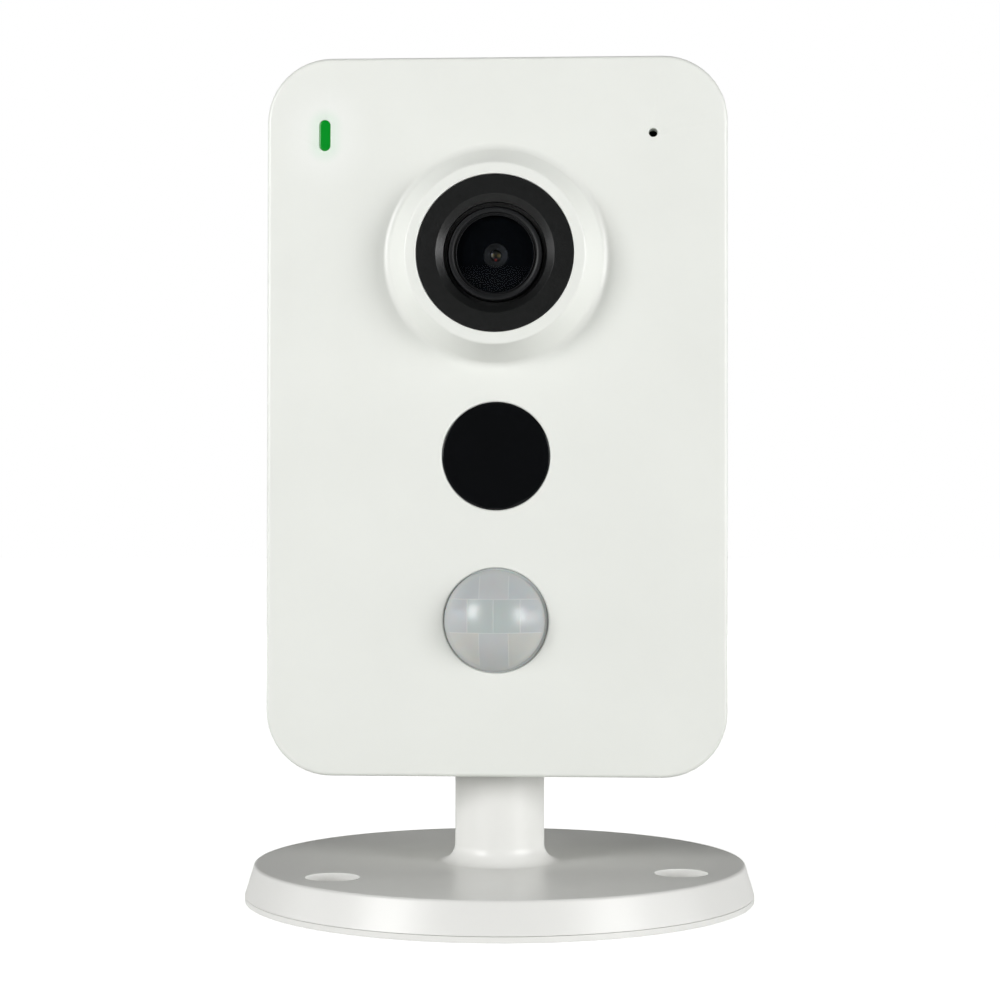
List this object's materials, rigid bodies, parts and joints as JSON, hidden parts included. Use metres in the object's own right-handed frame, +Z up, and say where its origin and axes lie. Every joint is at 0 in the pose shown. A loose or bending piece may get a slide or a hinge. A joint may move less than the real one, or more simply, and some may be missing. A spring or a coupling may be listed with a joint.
{
  "type": "security camera",
  "caption": "Upright box security camera with a front lens, infrared window and domed motion sensor, on a short neck that pans and tilts above a round weighted base.",
  "frame": {"origin": "centre of the base's underside, on the axis that the neck turns about", "axes": "+Z up; the lens looks along -Y; +X is to the right seen from the front"},
  "size_m": [0.0752, 0.0752, 0.1225],
  "materials": {
    "white_plastic": "satin-gloss white moulded plastic",
    "black_plastic": "matt black moulded plastic",
    "grey_plastic": "matt grey moulded plastic",
    "rubber": "matt black rubber and foam",
    "steel": "bright plated steel",
    "aluminium": "plain aluminium",
    "brass": "plated brass and copper",
    "lens_glass": "coated optical glass",
    "dark_window": "gloss black infrared-pass plastic",
    "milky_lens": "milky translucent polythene",
    "green_light": "clear light guide lit green",
    "clear_led": "clear resin",
    "circuit_board": "green solder mask"
  },
  "bodies": {
    "stand": {"base_shell": "white_plastic", "base_cover": "white_plastic", "ballast_plate": "steel", "rubber_feet": "rubber", "cover_screws": "steel"},
    "neck": {"stalk": "white_plastic", "pan_washer": "steel", "pan_screw": "steel"},
    "head": {"tilt_pin": "steel", "tilt_nut": "steel", "tilt_washers": "grey_plastic", "front_panel": "white_plastic", "rear_housing": "white_plastic", "case_screws": "steel", "lens_trim_ring": "black_plastic", "lens_barrel": "black_plastic", "front_glass": "lens_glass", "rear_glass": "lens_glass", "lens_holder": "black_plastic", "ir_cut_frame": "black_plastic", "ir_cut_coil": "brass", "image_sensor": "grey_plastic", "sensor_board": "circuit_board", "main_board": "circuit_board", "board_headers": "grey_plastic", "board_screws": "steel", "processor": "grey_plastic", "heat_spreader": "aluminium", "wifi_shield": "steel", "wifi_antenna": "brass", "ethernet_jack": "black_plastic", "ethernet_contacts": "brass", "power_jack": "black_plastic", "power_jack_pin": "steel", "card_socket": "steel", "reset_switch": "steel", "pairing_switch": "steel", "speaker_frame": "black_plastic", "speaker_cone": "grey_plastic", "speaker_magnet": "steel", "ir_window": "dark_window", "ir_shroud": "rubber", "ir_led_board": "circuit_board", "ir_leds": "clear_led", "pir_lens": "milky_lens", "pir_sensor": "steel", "pir_board": "circuit_board", "status_light_pipe": "green_light", "status_led": "clear_led", "microphone_boot": "rubber", "microphone": "steel"},
    "reset_key": {"reset_button": "black_plastic", "reset_plunger": "grey_plastic"},
    "pairing_key": {"pairing_button": "grey_plastic", "pairing_plunger": "grey_plastic"},
    "ir_cut_slider": {"ir_cut_carriage": "black_plastic", "ir_cut_filter": "lens_glass", "clear_filter": "lens_glass"}
  },
  "joints": [
    {"name": "pan", "type": "hinge", "parent": "stand", "child": "neck", "pos_m": [0, 0, 0], "axis": [0, 0, 1], "continuous": true},
    {"name": "tilt", "type": "hinge", "parent": "neck", "child": "head", "pos_m": [0, 0, 0.02761], "axis": [-1, 0, 0], "range_deg": [-10, 90]},
    {"name": "reset_press", "type": "slide", "parent": "head", "child": "reset_key", "axis": [0, -1, 0], "range_m": [0, 0.0005], "stiffness_N_per_m": 500, "springref_m": -0.0005},
    {"name": "pairing_press", "type": "slide", "parent": "head", "child": "pairing_key", "axis": [0, -1, 0], "range_m": [0, 0.0005], "stiffness_N_per_m": 500, "springref_m": -0.0005},
    {"name": "ir_cut_slide", "type": "slide", "parent": "head", "child": "ir_cut_slider", "axis": [1, 0, 0], "range_m": [0, 0.0066]}
  ]
}
